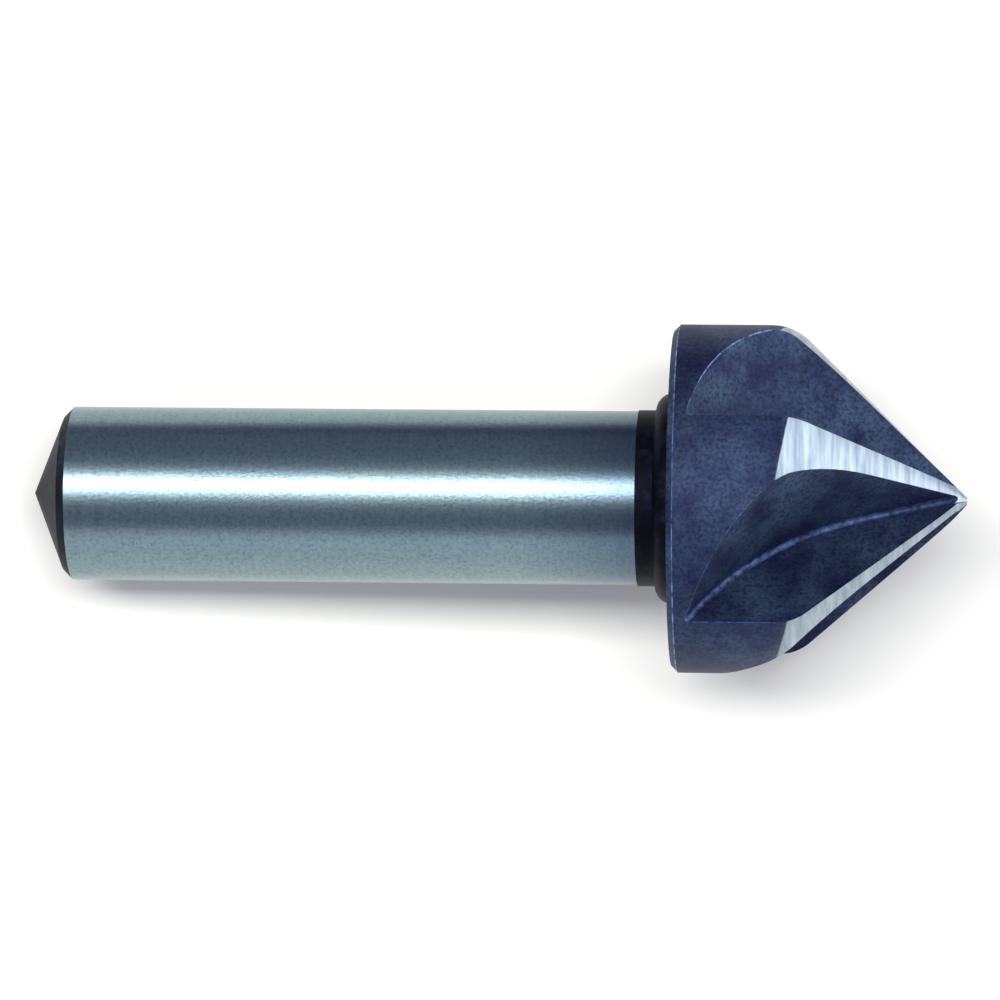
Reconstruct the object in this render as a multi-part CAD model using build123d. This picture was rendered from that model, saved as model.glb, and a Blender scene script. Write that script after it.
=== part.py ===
from build123d import *
import os
from math import atan2, cos, degrees, hypot, radians, sin, tan

# Five-flute 90 degree countersink bit for a drill chuck, in millimetres.
# It is one piece of tool steel: a turned blank with a ground shank, five milled flutes
# and five conical lands, each ground with clearance behind its cutting edge and rounded
# over at its outer corner.
# The teeth cut anticlockwise, seen from the shank.

# ---- driving dimensions ----
OVERALL_LENGTH = 43.0

HEAD_DIAMETER = 16.0
HEAD_CYLINDER_LENGTH = 5.6
HEAD_RIM_CHAMFER = 0.3

POINT_ANGLE = 90.0
POINT_FLAT_DIAMETER = 0.3

NECK_DIAMETER = 8.1
NECK_LENGTH = 1.6
NECK_FILLET = 0.8

SHANK_DIAMETER = 8.0
SHANK_RIM_CHAMFER = 0.4
SHANK_END_ANGLE = 136.0

TOOTH_COUNT = 5
FIRST_TOOTH_ANGLE = 25.0
RAKE_FACE_OFFSET = 0.4
LAND_CLEARANCE_ANGLE = 5.5
TOOTH_CORNER_RADIUS = 2.0

FLUTE_CUTTER_RADIUS = 14.0
FLUTE_CUTTER_ANGLE = 80.0
FLUTE_FEED_ANGLE = 17.0
FLUTE_FEED_STOP = 4.7
FLUTE_ROOT_FILLET = 0.2

# ---- sizes worked out from them ----
head_radius = HEAD_DIAMETER / 2
neck_radius = NECK_DIAMETER / 2
shank_radius = SHANK_DIAMETER / 2
half_point_angle = radians(POINT_ANGLE / 2)
tooth_pitch = 360 / TOOTH_COUNT

# The turned faces have their seam in a flute, clear of the edges that are rounded.
seam_angle = FIRST_TOOTH_ANGLE + tooth_pitch / 4

# Stations along the axis: the sharp apex of the cone is at 0 and the shank lies at minus X.
point_flat_x = -POINT_FLAT_DIAMETER / 2 / tan(half_point_angle)
cone_base_x = -head_radius / tan(half_point_angle)
head_back_x = cone_base_x - HEAD_CYLINDER_LENGTH
neck_end_x = head_back_x - NECK_LENGTH
shank_apex_x = point_flat_x - OVERALL_LENGTH
shank_face_radius = shank_radius - SHANK_RIM_CHAMFER
shank_face_x = shank_apex_x + shank_face_radius / tan(radians(SHANK_END_ANGLE / 2))

# Cutters and grinding stock reach this far past the blank, so that they cut it cleanly.
overrun = head_radius / 2

# Two edges lie on each other when they come this close, halfway along.
same_edge_distance = 0.001
halfway = 0.5

# Lying on a bench, the bit touches it with two circles: the corner where the shank meets
# its rim chamfer, and the corner where the head meets its own.
shank_contact_x = shank_face_x + SHANK_RIM_CHAMFER
head_contact_x = head_back_x + HEAD_RIM_CHAMFER
rest_tilt = degrees(atan2(head_radius - shank_radius, head_contact_x - shank_contact_x))


def turned_blank():
    """The turned and ground blank: full-width head, neck, shank and conical shank end."""
    fillet_start = (head_back_x, neck_radius + NECK_FILLET)
    fillet_end = (head_back_x - NECK_FILLET, neck_radius)
    with BuildPart() as blank:
        with BuildSketch(Plane.XZ):
            with BuildLine():
                Polyline(
                    fillet_end,
                    (neck_end_x, neck_radius),
                    (neck_end_x, shank_radius),
                    (shank_contact_x, shank_radius),
                    (shank_face_x, shank_face_radius),
                    (shank_apex_x, 0),
                    (point_flat_x, 0),
                    (point_flat_x, head_radius),
                    (head_contact_x, head_radius),
                    (head_back_x, head_radius - HEAD_RIM_CHAMFER),
                    fillet_start,
                )
                RadiusArc(fillet_start, fillet_end, -NECK_FILLET)
            make_face()
        revolve(axis=Axis.X)
    return blank.part


def land_stock():
    """The stock ground off one tooth to leave its conical land.

    The land lies on a cone that shares the apex of the bit and leans towards the cutting
    edge, so the land falls away behind the edge. The stock is one tooth pitch wide, split
    in the middle of the flute on each side of the tooth, and open around the leaning cone.
    """
    stock_length = -cone_base_x + overrun
    cone_length = stock_length + overrun
    leaning_cone = Cone(
        bottom_radius=cone_length * tan(half_point_angle),
        top_radius=0,
        height=cone_length,
        align=(Align.CENTER, Align.CENTER, Align.MAX),
    )
    leaning_cone = Rot(0, 0, -LAND_CLEARANCE_ANGLE) * Rot(0, 90, 0) * leaning_cone

    half_pitch = radians(tooth_pitch / 2)
    reach = (head_radius + overrun) / cos(half_pitch)
    with BuildPart() as stock:
        with BuildSketch(Plane.YZ):
            Polygon(
                (0, 0),
                (-reach * sin(half_pitch), reach * cos(half_pitch)),
                (reach * sin(half_pitch), reach * cos(half_pitch)),
                align=None,
            )
        extrude(amount=-stock_length)
    return stock.part - leaning_cone


def flute_cutter():
    """The space swept by the single-angle milling cutter that forms one flute.

    The flat side of the cutter leaves the rake face, in a plane beside the axis, and its
    angled side leaves the back of the tooth ahead. It is fed in a straight line from the
    point to the feed stop, where its rim leaves the curved run-out of the flute.
    """
    feed = radians(FLUTE_FEED_ANGLE)
    feed_start = (-overrun, -overrun * tan(feed))
    feed_stop = (FLUTE_FEED_STOP, FLUTE_FEED_STOP * tan(feed))
    cutter_centre = (
        feed_stop[0] - FLUTE_CUTTER_RADIUS * sin(feed),
        feed_stop[1] + FLUTE_CUTTER_RADIUS * cos(feed),
    )
    cutter_top = cutter_centre[1] + overrun
    rake_face = Plane(origin=(0, RAKE_FACE_OFFSET, 0), x_dir=(-1, 0, 0), z_dir=(0, 1, 0))
    with BuildPart() as cutter:
        with BuildSketch(rake_face):
            with BuildLine():
                Line(feed_start, feed_stop)
                run_out = CenterArc(
                    center=cutter_centre,
                    radius=FLUTE_CUTTER_RADIUS,
                    start_angle=FLUTE_FEED_ANGLE - 90,
                    arc_size=90 - FLUTE_FEED_ANGLE,
                )
                run_out_end = (run_out @ 1).X
                Polyline(
                    run_out @ 1,
                    (run_out_end, cutter_top),
                    (feed_start[0], cutter_top),
                    feed_start,
                )
            make_face()
        extrude(amount=head_radius, taper=90 - FLUTE_CUTTER_ANGLE)
    return cutter.part


def flute_roots(cutter):
    """The straight and the curved edge that the cutter's rim leaves in the rake face."""
    rake_face_edges = cutter.edges().filter_by_position(
        Axis.Y, RAKE_FACE_OFFSET, RAKE_FACE_OFFSET
    )
    straight_root, curved_root, *_ = rake_face_edges.sort_by(Axis.Z)
    return [straight_root, curved_root]


def tooth_corners(bit):
    """The edge of each tooth where its land meets the cylinder of the head."""
    ends_and_middle = (0, halfway, 1)
    edges_on_cylinder = [
        edge
        for edge in bit.edges()
        if all(
            abs(hypot((edge @ place).Y, (edge @ place).Z) - head_radius) < same_edge_distance
            for place in ends_and_middle
        )
    ]
    return ShapeList(edges_on_cylinder).sort_by(Axis.X)[-TOOTH_COUNT:]


def countersink_bit():
    """The finished bit, with its axis on X and its point at the origin."""
    turns = [Rot(-FIRST_TOOTH_ANGLE - tooth * tooth_pitch, 0, 0) for tooth in range(TOOTH_COUNT)]
    cutter = flute_cutter()
    bit = Rot(-seam_angle, 0, 0) * turned_blank()
    for tool in (land_stock(), cutter):
        for turn in turns:
            bit -= turn * tool

    roots = [turn * root for turn in turns for root in flute_roots(cutter)]
    sharp_edges = [
        edge
        for edge in bit.edges()
        if any(root.distance_to(edge @ halfway) < same_edge_distance for root in roots)
    ]
    bit = bit.fillet(FLUTE_ROOT_FILLET, sharp_edges)
    return bit.fillet(TOOTH_CORNER_RADIUS, tooth_corners(bit))


def laid_on_bench(bit):
    """Tip the bit up to its resting angle and put the bottom centre of its box at the origin."""
    tipped = Rot(0, -rest_tilt, 0) * bit
    box = tipped.bounding_box()
    centre = box.center()
    return Pos(-centre.X, -centre.Y, -box.min.Z) * tipped


os.makedirs("parts", exist_ok=True)
export_step(laid_on_bench(countersink_bit()), "parts/countersink_bit.step")
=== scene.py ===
import math

import bpy
from mathutils import Matrix, Vector


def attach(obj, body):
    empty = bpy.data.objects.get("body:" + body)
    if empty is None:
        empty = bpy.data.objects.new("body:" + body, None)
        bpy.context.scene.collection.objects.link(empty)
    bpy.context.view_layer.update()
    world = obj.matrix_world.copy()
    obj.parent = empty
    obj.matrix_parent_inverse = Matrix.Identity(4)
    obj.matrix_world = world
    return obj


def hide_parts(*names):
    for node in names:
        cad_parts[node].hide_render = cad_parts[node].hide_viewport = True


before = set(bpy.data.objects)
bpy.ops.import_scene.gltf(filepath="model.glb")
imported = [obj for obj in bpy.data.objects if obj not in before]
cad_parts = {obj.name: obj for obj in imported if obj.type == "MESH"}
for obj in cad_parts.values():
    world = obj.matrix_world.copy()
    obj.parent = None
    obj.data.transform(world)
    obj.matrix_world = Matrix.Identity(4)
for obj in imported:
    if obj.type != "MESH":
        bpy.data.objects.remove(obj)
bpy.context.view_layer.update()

# ---- The bit's form ----
# The real bit is one bar of tool steel: turned, milled with five flutes, hardened and then
# ground on its shank and on the conical lands behind its cutting edges.
MILLIMETRE = 0.001
MERGE_DISTANCE = 0.002 * MILLIMETRE
SMOOTH_ANGLE = math.radians(28)

bpy.ops.object.select_all(action="DESELECT")
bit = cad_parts["countersink_bit"].copy()
bit.data = bit.data.copy()
bit.name = "ground_and_blacked_bit"
bit.data.materials.clear()
bpy.context.scene.collection.objects.link(bit)
bpy.context.view_layer.objects.active = bit
bit.select_set(True)
bpy.ops.object.mode_set(mode="EDIT")
bpy.ops.mesh.select_all(action="SELECT")
bpy.ops.mesh.remove_doubles(threshold=MERGE_DISTANCE)
bpy.ops.object.mode_set(mode="OBJECT")
bpy.ops.object.shade_smooth_by_angle(angle=SMOOTH_ANGLE)

# The bit lies on the rear corner of its shank and the rear rim of its head, which tips its
# point up. Places along it are counted back from the sharp end that its cone would have, and
# the end of its shank has the least X of its mesh.
HEAD_RADIUS_MM = 8.0
SHANK_RADIUS_MM = 4.0
RIM_START_MM = 13.3
SHANK_END_MM = 41.2955
BIT_END_MM = 43.15
REST_TILT = math.atan2(HEAD_RADIUS_MM - SHANK_RADIUS_MM, SHANK_END_MM - RIM_START_MM)
point_height_mm = HEAD_RADIUS_MM * math.cos(REST_TILT) + RIM_START_MM * math.sin(REST_TILT)
point_reach_mm = BIT_END_MM * math.cos(REST_TILT)
least_x_mm = min(vertex.co.x for vertex in bit.data.vertices) / MILLIMETRE
POINT = Vector((least_x_mm + point_reach_mm, 0, point_height_mm)) * MILLIMETRE

# The bit's own axes: X along it towards the point, from the point. Each tooth has axes like
# them, turned so that Z lies along its rake face. Places are in millimetres in both.
TOOTH_COUNT = 5
TOOTH_PITCH = math.tau / TOOTH_COUNT
FIRST_TOOTH_ANGLE = math.radians(25)
bit_axes = Matrix.Translation(POINT) @ Matrix.Rotation(-REST_TILT, 4, "Y")
tooth_angles = [FIRST_TOOTH_ANGLE + tooth * TOOTH_PITCH for tooth in range(TOOTH_COUNT)]
teeth_axes = [bit_axes @ Matrix.Rotation(-angle, 4, "X") for angle in tooth_angles]

# Each land is ground on a cone that leans, so that it falls away behind its cutting edge. The
# outer corner of the tooth is rounded over, ahead of CORNER_END_MM and outside
# CORNER_LEAST_RADIUS_MM, and is ground too where it is GROUND_DROP_MM below the cylinder.
HALF_POINT_ANGLE = math.radians(45)
LAND_CLEARANCE = math.radians(5.5)
LAND_AXIS = Vector((math.cos(LAND_CLEARANCE), -math.sin(LAND_CLEARANCE), 0))
CORNER_RADIUS_MM = 2.0
CORNER_END_MM = 10.2
CORNER_LEAST_RADIUS_MM = 7.38
GROUND_DROP_MM = 0.12
GROUND_TURN = math.acos(1 - GROUND_DROP_MM / CORNER_RADIUS_MM)

# The milling cutter has a flat side, which leaves the rake face, and a tapered side, which
# leaves the wall of the flute. It is fed straight from the point until it stops in the head.
RAKE_OFFSET_MM = 0.4
RAKE_NORMAL = Vector((0, 1, 0))
CUTTER_RADIUS_MM = 14.0
CUTTER_TAPER = math.tan(math.radians(10))
FEED_ANGLE = math.radians(17)
FEED_STOP_MM = 4.7
FEED_SIDE = Vector((-math.sin(FEED_ANGLE), 0, -math.cos(FEED_ANGLE)))
FEED_END_MM = Vector((-FEED_STOP_MM, 0, FEED_STOP_MM * math.tan(FEED_ANGLE)))
CUTTER_CENTRE_MM = FEED_END_MM - CUTTER_RADIUS_MM * FEED_SIDE

# The turned chamfers and the shank's end are known by the way they lean. Other faces are on
# a surface when their corners are within ON_SURFACE_MM of it and they face the way it does.
CHAMFER_LEAN = -math.sin(math.radians(45))
SHANK_END_LEAN = -math.sin(math.radians(68))
LEAN_TOLERANCE = 0.03
ON_SURFACE_MM = 0.003
FACING = 0.95
CORNER_FACING = 0.65


def seen_from(axes, place):
    """A place in the frame as it is in the given axes, in millimetres."""
    return axes.inverted() @ place / MILLIMETRE


def outward(place):
    """The direction straight away from the axis of the bit."""
    return (place * Vector((0, 1, 1))).normalized()


def radius_of(place):
    """The distance of a place from the axis of the bit."""
    return math.hypot(place.y, place.z)


# Each ground or milled surface of a tooth has two rules, in the axes of the tooth: the
# distance of a place from it, and its normal at a place on it.
def from_land(place):
    return place.length * math.cos(HALF_POINT_ANGLE) + place.dot(LAND_AXIS)


def land_normal(place):
    return (place.normalized() * math.cos(HALF_POINT_ANGLE) + LAND_AXIS).normalized()


def from_rake(place):
    return place.y - RAKE_OFFSET_MM


def rake_normal(place):
    return RAKE_NORMAL


def from_curved_wall(place):
    arm = (place - CUTTER_CENTRE_MM) * Vector((1, 0, 1))
    return arm.length + from_rake(place) * CUTTER_TAPER - CUTTER_RADIUS_MM


def curved_wall_normal(place):
    arm = (place - CUTTER_CENTRE_MM) * Vector((1, 0, 1))
    return -(arm.normalized() + CUTTER_TAPER * RAKE_NORMAL).normalized()


def from_straight_wall(place):
    reach = (place - CUTTER_CENTRE_MM).dot(FEED_SIDE)
    return reach + from_rake(place) * CUTTER_TAPER - CUTTER_RADIUS_MM


def straight_wall_normal(place):
    return -(FEED_SIDE + CUTTER_TAPER * RAKE_NORMAL).normalized()


def corner_normal(place):
    """Turns from the cylinder's normal to the land's over the part that isn't ground."""
    drop = (HEAD_RADIUS_MM - radius_of(place)) / CORNER_RADIUS_MM
    turned = math.acos(min(1, max(0, 1 - drop))) / GROUND_TURN
    return outward(place).slerp(land_normal(place), min(1, turned))


TOOTH_SURFACES = {
    "land": (from_land, land_normal),
    "rake": (from_rake, rake_normal),
    "wall": (from_curved_wall, curved_wall_normal),
    "wall by the point": (from_straight_wall, straight_wall_normal),
}


def tooth_surface_of(face):
    """The surface of a tooth that a face lies on, the tooth's axes and the normal rule."""
    for axes in teeth_axes:
        corners = [seen_from(axes, bit.data.vertices[index].co) for index in face.vertices]
        middle = seen_from(axes, face.center)
        facing = axes.to_3x3().transposed() @ face.normal
        for name, (distance, normal_at) in TOOTH_SURFACES.items():
            on_it = all(abs(distance(corner)) < ON_SURFACE_MM for corner in corners)
            if on_it and facing.dot(normal_at(middle)) > FACING:
                return name, axes, normal_at
        is_by_the_land = middle.x > -CORNER_END_MM and middle.z > abs(middle.y)
        is_by_the_rim = min(radius_of(corner) for corner in corners) > CORNER_LEAST_RADIUS_MM
        is_outside = facing.dot(outward(middle)) > CORNER_FACING
        if is_by_the_land and is_by_the_rim and is_outside:
            return "corner", axes, corner_normal
    return None


def leaning_normal(lean):
    """The normal rule of a turned surface that leans this much along the bit."""
    side = math.sqrt(1 - lean * lean)
    return lambda place: Vector((lean, 0, 0)) + side * outward(place)


def surface_of(face):
    """The surface that a face lies on, the axes that it is seen in and its normal rule."""
    corners = [seen_from(bit_axes, bit.data.vertices[index].co) for index in face.vertices]
    radii = [radius_of(corner) for corner in corners]
    facing = bit_axes.to_3x3().transposed() @ face.normal
    is_straight = max(radii) - min(radii) < ON_SURFACE_MM
    if is_straight and facing.dot(outward(seen_from(bit_axes, face.center))) > FACING:
        return "turned", bit_axes, outward
    tooth_surface = tooth_surface_of(face)
    if tooth_surface:
        return tooth_surface
    for lean in (CHAMFER_LEAN, SHANK_END_LEAN):
        if abs(facing.x - lean) < LEAN_TOLERANCE:
            return "turned", bit_axes, leaning_normal(lean)
    return "other", bit_axes, lambda place: Vector()


# The flats of the curved surfaces are shaded as the round surfaces that they stand for.
# A zero normal leaves the smooth shading as it is, as in the flute roots and on the back
# of the head.
surfaces = [surface_of(face) for face in bit.data.polygons]
normals = [Vector()] * len(bit.data.loops)
for face, (surface, axes, normal_at) in zip(bit.data.polygons, surfaces):
    for corner in face.loop_indices:
        place = bit.data.vertices[bit.data.loops[corner].vertex_index].co
        normals[corner] = axes.to_3x3() @ normal_at(seen_from(axes, place))
bit.data.normals_split_custom_set(normals)

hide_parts("countersink_bit")
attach(bit, "root")

# ---- Black oxide on the head ----
# After hardening, the head keeps a thin blue-black oxide from the heat. It is tight and
# matt, with soft clouds and a fine grain, so it looks like dark slate-blue steel.
OXIDE_COLOUR = "#384B69"
OXIDE_CLOUD_COLOUR = "#1D274E"
OXIDE_GRAIN_COLOUR = "#0D1126"
OXIDE_CLOUD_MM = 2.2
# The real grain is finer than 0.05 mm. It is drawn as coarse as it needs to show.
OXIDE_GRAIN_MM = 0.16
OXIDE_GRAIN_SHARE = 0.8
OXIDE_ROUGHNESS = 0.6
OXIDE_METALLIC = 0.7


def linear(hex_colour):
    """The linear RGBA colour of an sRGB hex value."""
    channels = [int(hex_colour[start : start + 2], 16) / 255 for start in (1, 3, 5)]
    return [c / 12.92 if c <= 0.04045 else ((c + 0.055) / 1.055) ** 2.4 for c in channels] + [1]


def add_node(material, kind, values=None, links=None, **settings):
    """Adds one node to a material, with its settings, socket values and incoming links."""
    made = material.node_tree.nodes.new(kind)
    for name, value in settings.items():
        setattr(made, name, value)
    for socket, value in (values or {}).items():
        made.inputs[socket].default_value = value
    for socket, source in (links or {}).items():
        material.node_tree.links.new(source, made.inputs[socket])
    return made


def new_material(name):
    """An empty material with its output."""
    material = bpy.data.materials.new(name)
    material.use_nodes = True
    material.node_tree.nodes.clear()
    add_node(material, "ShaderNodeOutputMaterial")
    return material


def show(material, shader):
    """Links a shader to the output of its material."""
    output = material.node_tree.nodes["Material Output"]
    material.node_tree.links.new(shader.outputs[0], output.inputs["Surface"])


def bit_coordinates(material):
    """Coordinates along the bit in millimetres: X to the point, Z up from its axis."""
    place = add_node(material, "ShaderNodeTexCoord")
    turned = add_node(
        material,
        "ShaderNodeMapping",
        vector_type="TEXTURE",
        values={"Location": POINT, "Rotation": (0, -REST_TILT, 0), "Scale": (MILLIMETRE,) * 3},
        links={"Vector": place.outputs["Object"]},
    )
    return turned.outputs[0]


def finish_faces(material, wanted):
    """Gives a material to the faces that are wanted by surface and place along the bit."""
    bit.data.materials.append(material)
    slot = len(bit.data.materials) - 1
    for face, (surface, *_) in zip(bit.data.polygons, surfaces):
        if wanted(surface, -seen_from(bit_axes, face.center).x):
            face.material_index = slot


def black_oxide(material, coordinates, clear_colour=OXIDE_COLOUR):
    """Adds the oxide's nodes to a material and gives its colour and its shader."""
    clouds = add_node(
        material,
        "ShaderNodeTexNoise",
        values={"Scale": 1 / OXIDE_CLOUD_MM, "Detail": 5, "Roughness": 0.6},
        links={"Vector": coordinates},
    )
    cloud_amount = add_node(
        material,
        "ShaderNodeMapRange",
        values={"From Min": 0.36, "From Max": 0.64},
        links={"Value": clouds.outputs[0]},
    )
    grain = add_node(
        material,
        "ShaderNodeTexNoise",
        values={"Scale": 1 / OXIDE_GRAIN_MM, "Detail": 2, "Roughness": 0.6},
        links={"Vector": coordinates},
    )
    grain_amount = add_node(
        material,
        "ShaderNodeMapRange",
        values={"From Min": 0.4, "From Max": 0.7, "To Max": OXIDE_GRAIN_SHARE},
        links={"Value": grain.outputs[0]},
    )
    cloudy = add_node(
        material,
        "ShaderNodeMix",
        data_type="RGBA",
        values={"A": linear(OXIDE_CLOUD_COLOUR), "B": linear(clear_colour)},
        links={"Factor": cloud_amount.outputs[0]},
    )
    grainy = add_node(
        material,
        "ShaderNodeMix",
        data_type="RGBA",
        values={"B": linear(OXIDE_GRAIN_COLOUR)},
        links={"Factor": grain_amount.outputs[0], "A": cloudy.outputs["Result"]},
    )
    shader = add_node(
        material,
        "ShaderNodeBsdfPrincipled",
        values={"Metallic": OXIDE_METALLIC, "Roughness": OXIDE_ROUGHNESS},
        links={"Base Color": grainy.outputs["Result"]},
    )
    return grainy.outputs["Result"], shader


oxide = new_material("black_oxide_on_turned_steel")
_, oxide_shader = black_oxide(oxide, bit_coordinates(oxide))
show(oxide, oxide_shader)
# Every face starts with it, and the finishes after it take their own faces.
finish_faces(oxide, lambda surface, back: True)

# ---- Blacked neck and shank end ----
# The neck and the cone at the shank's end are turned and never ground. The oxide is
# thickest in the corner of the neck, so they are nearly black, with thinner patches.
NECK_COLOUR = "#070911"
NECK_PATCH_MM = 0.8
NECK_START_MM = 13.62
NECK_METALLIC = 0.9
NECK_LEAST_SHARE = 0.55
NECK_MOST_SHARE = 0.95

neck = new_material("thick_black_oxide_on_neck_and_end")
neck_place = bit_coordinates(neck)
neck_colour, neck_shader = black_oxide(neck, neck_place)
neck_patches = add_node(
    neck,
    "ShaderNodeTexNoise",
    values={"Scale": 1 / NECK_PATCH_MM, "Detail": 3},
    links={"Vector": neck_place},
)
neck_share = add_node(
    neck,
    "ShaderNodeMapRange",
    values={
        "From Min": 0.5,
        "From Max": 0.7,
        "To Min": NECK_MOST_SHARE,
        "To Max": NECK_LEAST_SHARE,
    },
    links={"Value": neck_patches.outputs[0]},
)
neck_mix = add_node(
    neck,
    "ShaderNodeMix",
    data_type="RGBA",
    values={"B": linear(NECK_COLOUR)},
    links={"Factor": neck_share.outputs[0], "A": neck_colour},
)
neck.node_tree.links.new(neck_mix.outputs["Result"], neck_shader.inputs["Base Color"])
neck_shader.inputs["Metallic"].default_value = NECK_METALLIC
show(neck, neck_shader)
finish_faces(neck, lambda surface, back: back > NECK_START_MM)

# ---- Milled flutes ----
# The flutes are milled before hardening, so they are blacked too. Along their edges with the
# cylinder, a broken line of bluer, brighter colour is partly oxide worn off by handling and
# partly a painted highlight, for light caught on the slightly rounded edge.
MILLED_COLOUR = "#405672"
# The colour of worn oxide and of painted highlight along the edges.
WEAR_AND_HIGHLIGHT_COLOUR = "#7592D2"
WORN_ROUGHNESS = 0.38
WEAR_AND_HIGHLIGHT_EDGE_MM = 0.05
WEAR_AND_HIGHLIGHT_SPOT_MM = 0.35


def worn_and_highlit_oxide(material, share_of):
    """Black oxide with spots of wear and painted highlight, by a share that is made from its
    coordinates.
    """
    coordinates = bit_coordinates(material)
    colour, shader = black_oxide(material, coordinates, MILLED_COLOUR)
    spots = add_node(
        material,
        "ShaderNodeTexNoise",
        values={"Scale": 1 / WEAR_AND_HIGHLIGHT_SPOT_MM, "Detail": 2},
        links={"Vector": coordinates},
    )
    wear_and_highlight = add_node(
        material,
        "ShaderNodeMapRange",
        values={"From Min": 0.35, "From Max": 0.65},
        links={"Value": spots.outputs[0], "To Max": share_of(material, coordinates)},
    )
    # Mixes in the colour of wear and of painted highlight.
    wear_and_highlight_mix = add_node(
        material,
        "ShaderNodeMix",
        data_type="RGBA",
        values={"B": linear(WEAR_AND_HIGHLIGHT_COLOUR)},
        links={"Factor": wear_and_highlight.outputs[0], "A": colour},
    )
    polish = add_node(
        material,
        "ShaderNodeMapRange",
        values={"To Min": OXIDE_ROUGHNESS, "To Max": WORN_ROUGHNESS},
        links={"Value": wear_and_highlight.outputs[0]},
    )
    material.node_tree.links.new(wear_and_highlight_mix.outputs["Result"], shader.inputs["Base Color"])
    material.node_tree.links.new(polish.outputs[0], shader.inputs["Roughness"])
    show(material, shader)


def radius_above(material, coordinates, limit_mm, softness_mm):
    """A factor that rises to 1 where the distance from the bit's axis passes a limit."""
    across = add_node(
        material,
        "ShaderNodeVectorMath",
        operation="MULTIPLY",
        values={1: (0, 1, 1)},
        links={0: coordinates},
    )
    radius = add_node(
        material, "ShaderNodeVectorMath", operation="LENGTH", links={0: across.outputs[0]}
    )
    factor = add_node(
        material,
        "ShaderNodeMapRange",
        values={"From Min": limit_mm - softness_mm, "From Max": limit_mm + softness_mm},
        links={"Value": radius.outputs["Value"]},
    )
    return factor.outputs[0]


def by_the_cylinder(material, coordinates):
    """A factor of 1 on the faces of the flutes where they meet the cylinder."""
    limit_mm = HEAD_RADIUS_MM - WEAR_AND_HIGHLIGHT_EDGE_MM
    return radius_above(material, coordinates, limit_mm, WEAR_AND_HIGHLIGHT_EDGE_MM / 2)


flutes = new_material("black_oxide_on_milled_flutes")
worn_and_highlit_oxide(flutes, by_the_cylinder)
# The chamfer of the rear rim gets the same wear and painted highlight.
finish_faces(
    flutes,
    lambda surface, back: surface in ("rake", "wall", "wall by the point")
    or RIM_START_MM < back < NECK_START_MM,
)

# ---- Flute roots ----
# The rounded corner along the bottom of each flute, left by the rim of the milling cutter.
# Chips slide along it and polish the oxide in spots. Its light blue line is partly this polish
# and partly a painted highlight, for light along the rounded corner, and is faint by the point.
ROOT_SHARE = 0.42
ROOT_SHARE_BY_POINT = 0.08
ROOT_FADE_MM = 8.0


def away_from_point(material, coordinates):
    """A share that grows along the flute, away from the point."""
    along = add_node(material, "ShaderNodeSeparateXYZ", links={"Vector": coordinates})
    share = add_node(
        material,
        "ShaderNodeMapRange",
        values={
            "From Min": -ROOT_FADE_MM,
            "From Max": 0,
            "To Min": ROOT_SHARE,
            "To Max": ROOT_SHARE_BY_POINT,
        },
        links={"Value": along.outputs["X"]},
    )
    return share.outputs[0]


roots = new_material("polished_and_highlit_oxide_in_flute_roots")
# The roots take the colour of wear and painted highlight, fading towards the point.
worn_and_highlit_oxide(roots, away_from_point)
finish_faces(roots, lambda surface, back: surface == "other" and back < RIM_START_MM)

# ---- Ground shank ----
# The shank is ground round between wheels for the chuck. Grinding leaves bright steel
# with fine rings and blue-grey specks, which break up the edges of its reflections.
SHANK_START_MM = 15.2
SHANK_COLOUR = "#899F9F"
SHANK_RING_COLOUR = "#728789"
SHANK_SPECK_COLOUR = "#465A80"
# The real rings and specks are finer than 0.05 mm. They are drawn coarse enough to show.
SHANK_RING_MM = 0.15
SHANK_RING_LENGTH_MM = 1.5
SHANK_SPECK_MM = 0.16
SHANK_SPECK_SHARE = 0.7
# Over the last few millimetres of the shank its colour is darkened towards the head: painted
# shade beside the head.
PAINTED_SHADE_COLOUR = "#3C4A62"
PAINTED_SHADE_SHARE = 0.6
PAINTED_SHADE_END_MM = 20.5
SHANK_ROUGHNESS = 0.28
SHANK_RIPPLE = 0.009 * MILLIMETRE

shank = new_material("centreless_ground_tool_steel")
shank_place = bit_coordinates(shank)
ring_place = add_node(
    shank,
    "ShaderNodeMapping",
    values={"Scale": (1 / SHANK_RING_MM, 1 / SHANK_RING_LENGTH_MM, 1 / SHANK_RING_LENGTH_MM)},
    links={"Vector": shank_place},
)
rings = add_node(
    shank,
    "ShaderNodeTexNoise",
    values={"Scale": 1, "Detail": 5, "Roughness": 0.6},
    links={"Vector": ring_place.outputs[0]},
)
specks = add_node(
    shank,
    "ShaderNodeTexNoise",
    values={"Scale": 1 / SHANK_SPECK_MM, "Detail": 4, "Roughness": 0.7},
    links={"Vector": shank_place},
)
speck_amount = add_node(
    shank,
    "ShaderNodeMapRange",
    values={"From Min": 0.45, "From Max": 0.75, "To Max": SHANK_SPECK_SHARE},
    links={"Value": specks.outputs[0]},
)
ripple = add_node(
    shank,
    "ShaderNodeBump",
    values={"Distance": SHANK_RIPPLE},
    links={"Height": specks.outputs[0]},
)
ringed = add_node(
    shank,
    "ShaderNodeMix",
    data_type="RGBA",
    values={"A": linear(SHANK_RING_COLOUR), "B": linear(SHANK_COLOUR)},
    links={"Factor": rings.outputs[0]},
)
specked = add_node(
    shank,
    "ShaderNodeMix",
    data_type="RGBA",
    values={"B": linear(SHANK_SPECK_COLOUR)},
    links={"Factor": speck_amount.outputs[0], "A": ringed.outputs["Result"]},
)
along = add_node(shank, "ShaderNodeSeparateXYZ", links={"Vector": shank_place})
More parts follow.
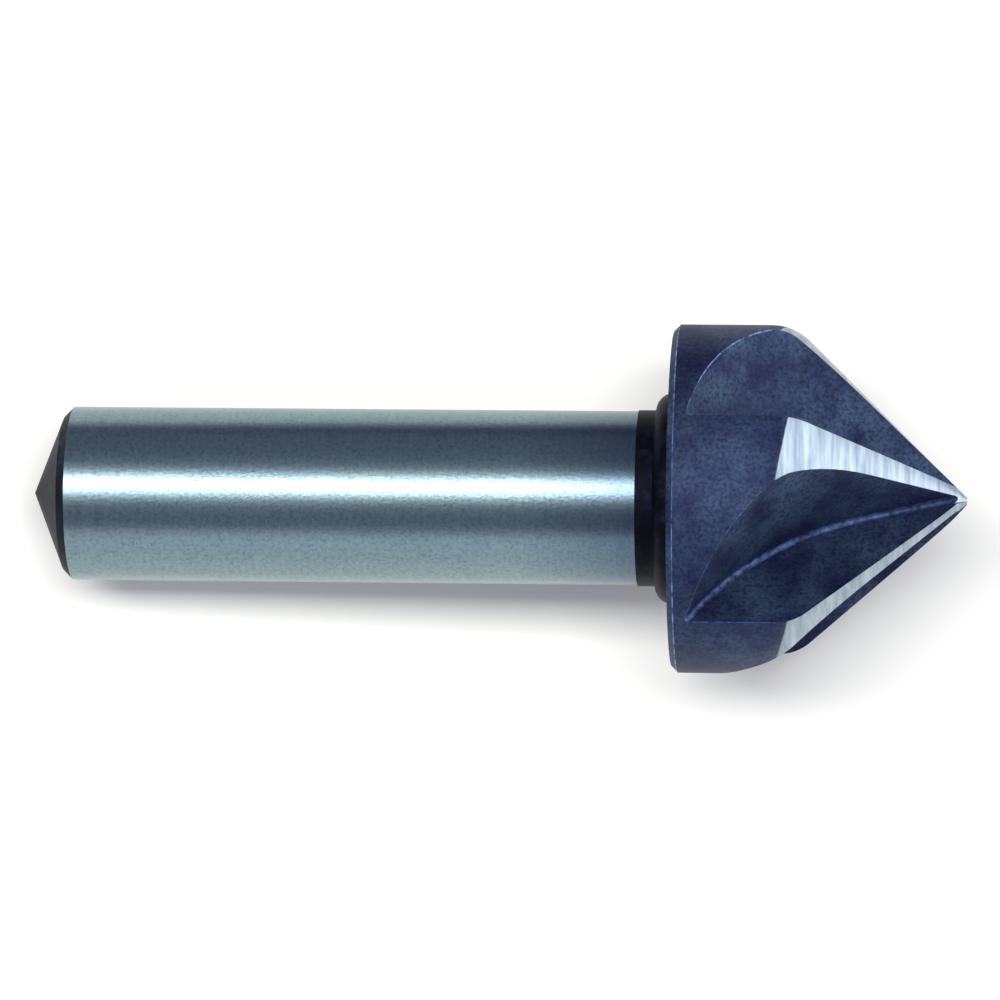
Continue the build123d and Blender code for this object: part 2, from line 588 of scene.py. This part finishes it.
# Painted shade: the colour darkens towards the head.
painted_shade_amount = add_node(
    shank,
    "ShaderNodeMapRange",
    values={"From Min": -PAINTED_SHADE_END_MM, "From Max": -SHANK_START_MM, "To Max": PAINTED_SHADE_SHARE},
    links={"Value": along.outputs["X"]},
)
painted_shade_mixed = add_node(
    shank,
    "ShaderNodeMix",
    data_type="RGBA",
    values={"B": linear(PAINTED_SHADE_COLOUR)},
    links={"Factor": painted_shade_amount.outputs[0], "A": specked.outputs["Result"]},
)
shank_shader = add_node(
    shank,
    "ShaderNodeBsdfPrincipled",
    values={"Metallic": 1, "Roughness": SHANK_ROUGHNESS},
    links={"Base Color": painted_shade_mixed.outputs["Result"], "Normal": ripple.outputs[0]},
)
show(shank, shank_shader)
finish_faces(
    shank,
    lambda surface, back: surface == "turned" and SHANK_START_MM < back < SHANK_END_MM,
)

# ---- Ground lands ----
# The narrow lands behind the cutting edges are ground after hardening, so they are the
# only bright faces of the head. The wheel leaves fine lines around the cone and runs out
# on the rounded corner, where the oxide starts again.
LAND_COLOUR = "#A2B1BB"
LAND_LINE_COLOUR = "#7A8999"
# The real lines lie closer than 0.05 mm. They are drawn as coarse as they need to show.
LAND_LINE_MM = 0.22
LAND_LINE_LENGTH_MM = 2.5
LAND_ROUGHNESS = 0.38
RUN_OUT_SOFTNESS_MM = 0.01

lands = new_material("ground_cutting_lands")
land_place = bit_coordinates(lands)
line_place = add_node(
    lands,
    "ShaderNodeMapping",
    values={"Scale": (1 / LAND_LINE_MM, 1 / LAND_LINE_LENGTH_MM, 1 / LAND_LINE_LENGTH_MM)},
    links={"Vector": land_place},
)
lines = add_node(
    lands,
    "ShaderNodeTexNoise",
    values={"Scale": 1, "Detail": 4, "Roughness": 0.6},
    links={"Vector": line_place.outputs[0]},
)
line_amount = add_node(
    lands,
    "ShaderNodeMapRange",
    values={"From Min": 0.35, "From Max": 0.65},
    links={"Value": lines.outputs[0]},
)
lined = add_node(
    lands,
    "ShaderNodeMix",
    data_type="RGBA",
    values={"A": linear(LAND_LINE_COLOUR), "B": linear(LAND_COLOUR)},
    links={"Factor": line_amount.outputs[0]},
)
land_shader = add_node(
    lands,
    "ShaderNodeBsdfPrincipled",
    values={"Metallic": 1, "Roughness": LAND_ROUGHNESS},
    links={"Base Color": lined.outputs["Result"]},
)
_, corner_shader = black_oxide(lands, land_place)
ground_radius_mm = HEAD_RADIUS_MM - GROUND_DROP_MM
run_out = radius_above(lands, land_place, ground_radius_mm, RUN_OUT_SOFTNESS_MM)
show(
    lands,
    add_node(
        lands,
        "ShaderNodeMixShader",
        links={0: run_out, 1: land_shader.outputs[0], 2: corner_shader.outputs[0]},
    ),
)
finish_faces(lands, lambda surface, back: surface in ("land", "corner"))

# ---- Floor ----
# A wide sheet of matt white paper on a bench. The bit lies loose on it. The paper has no
# grain that shows, so it is one even, bright surface with a soft shadow.
FLOOR_SIZE = 3.0
FLOOR_COLOUR = "#FFFEF3"
PAPER_ROUGHNESS = 0.9

bpy.ops.object.select_all(action="DESELECT")
bpy.ops.mesh.primitive_plane_add(size=FLOOR_SIZE, location=(0, 0, 0))
floor = bpy.context.object
floor.name = "floor"
paper = new_material("matt_white_paper")
paper_shader = add_node(
    paper,
    "ShaderNodeBsdfPrincipled",
    values={"Base Color": linear(FLOOR_COLOUR), "Roughness": PAPER_ROUGHNESS},
)
show(paper, paper_shader)
floor.data.materials.append(paper)

# ---- Lights ----
# A long soft box hangs above the bit. A low card glows on its near side and another past
# its point, and the room around them is dim and a little blue.
ROOM_COLOUR = "#8689A0"
LAMP_DISTANCE = 0.8
# Each lamp faces the bit, swung down from above it by its angles about X and Y in degrees.
LIGHTS = {
    "overhead_strip": {"turned": (-12.4, -12.9), "size": (0.80, 0.20), "power": 6.0},
    "near_side_card": {"turned": (70, 0), "size": (1.6, 0.56), "power": 2.4},
    "point_side_card": {"turned": (0, 72), "size": (0.44, 0.9), "power": 3.6},
}

room = bpy.data.worlds.new("dim_room")
bpy.context.scene.world = room
room.use_nodes = True
room.node_tree.nodes["Background"].inputs["Color"].default_value = linear(ROOM_COLOUR)
for name, light in LIGHTS.items():
    about_x, about_y = (math.radians(angle) for angle in light["turned"])
    turn = Matrix.Rotation(about_y, 3, "Y") @ Matrix.Rotation(about_x, 3, "X")
    bpy.ops.object.light_add(type="AREA", location=turn @ Vector((0, 0, LAMP_DISTANCE)))
    lamp = bpy.context.object
    lamp.name = name
    lamp.data.shape = "RECTANGLE"
    lamp.data.size, lamp.data.size_y = light["size"]
    lamp.data.energy = light["power"]
    lamp.rotation_euler = turn.to_euler()

# ---- Dark card ----
# A sheet of matt dark blue paper lies on the floor at the far side of the bit, just out
# of the camera's view. Only the steel reflects it, mostly as the shank's dark far side.
CARD_SIZE = (0.6, 0.4)
CARD_NEAR_EDGE = 0.0235
CARD_HEIGHT = 0.0002
CARD_COLOUR = "#1A2352"

bpy.ops.object.select_all(action="DESELECT")
bpy.ops.mesh.primitive_plane_add(size=1, location=(0, 0, 0))
card = bpy.context.object
card.name = "dark_card"
for corner in card.data.vertices:
    corner.co.x *= CARD_SIZE[0]
    corner.co.y = (corner.co.y + 0.5) * CARD_SIZE[1] + CARD_NEAR_EDGE
    corner.co.z = CARD_HEIGHT
card.visible_camera = False
card.visible_diffuse = False
card.visible_shadow = False
dark_paper = new_material("matt_dark_blue_paper")
show(
    dark_paper,
    add_node(
        dark_paper,
        "ShaderNodeBsdfPrincipled",
        values={"Base Color": linear(CARD_COLOUR), "Roughness": PAPER_ROUGHNESS},
    ),
)
card.data.materials.append(dark_paper)

# ---- Camera ----
# The camera hangs over the lying bit and looks down on it, a little from the shank's end.
# Its long lens keeps the sides of the bit nearly parallel.
CAMERA_AIM = Vector((0.051, -0.139, 6.748)) * MILLIMETRE
CAMERA_DISTANCE = 0.300
CAMERA_LEAN = math.radians(4.01)
CAMERA_ROLL = math.radians(0.51)
CAMERA_LENS = 234.7

camera_back = Vector((-math.sin(CAMERA_LEAN), 0, math.cos(CAMERA_LEAN)))
bpy.ops.object.camera_add(location=CAMERA_AIM + CAMERA_DISTANCE * camera_back)
camera = bpy.context.object
camera.rotation_mode = "ZYX"
camera.rotation_euler = (0, -CAMERA_LEAN, CAMERA_ROLL)
camera.data.lens = CAMERA_LENS
bpy.context.scene.camera = camera
bpy.context.scene.view_settings.view_transform = "Standard"
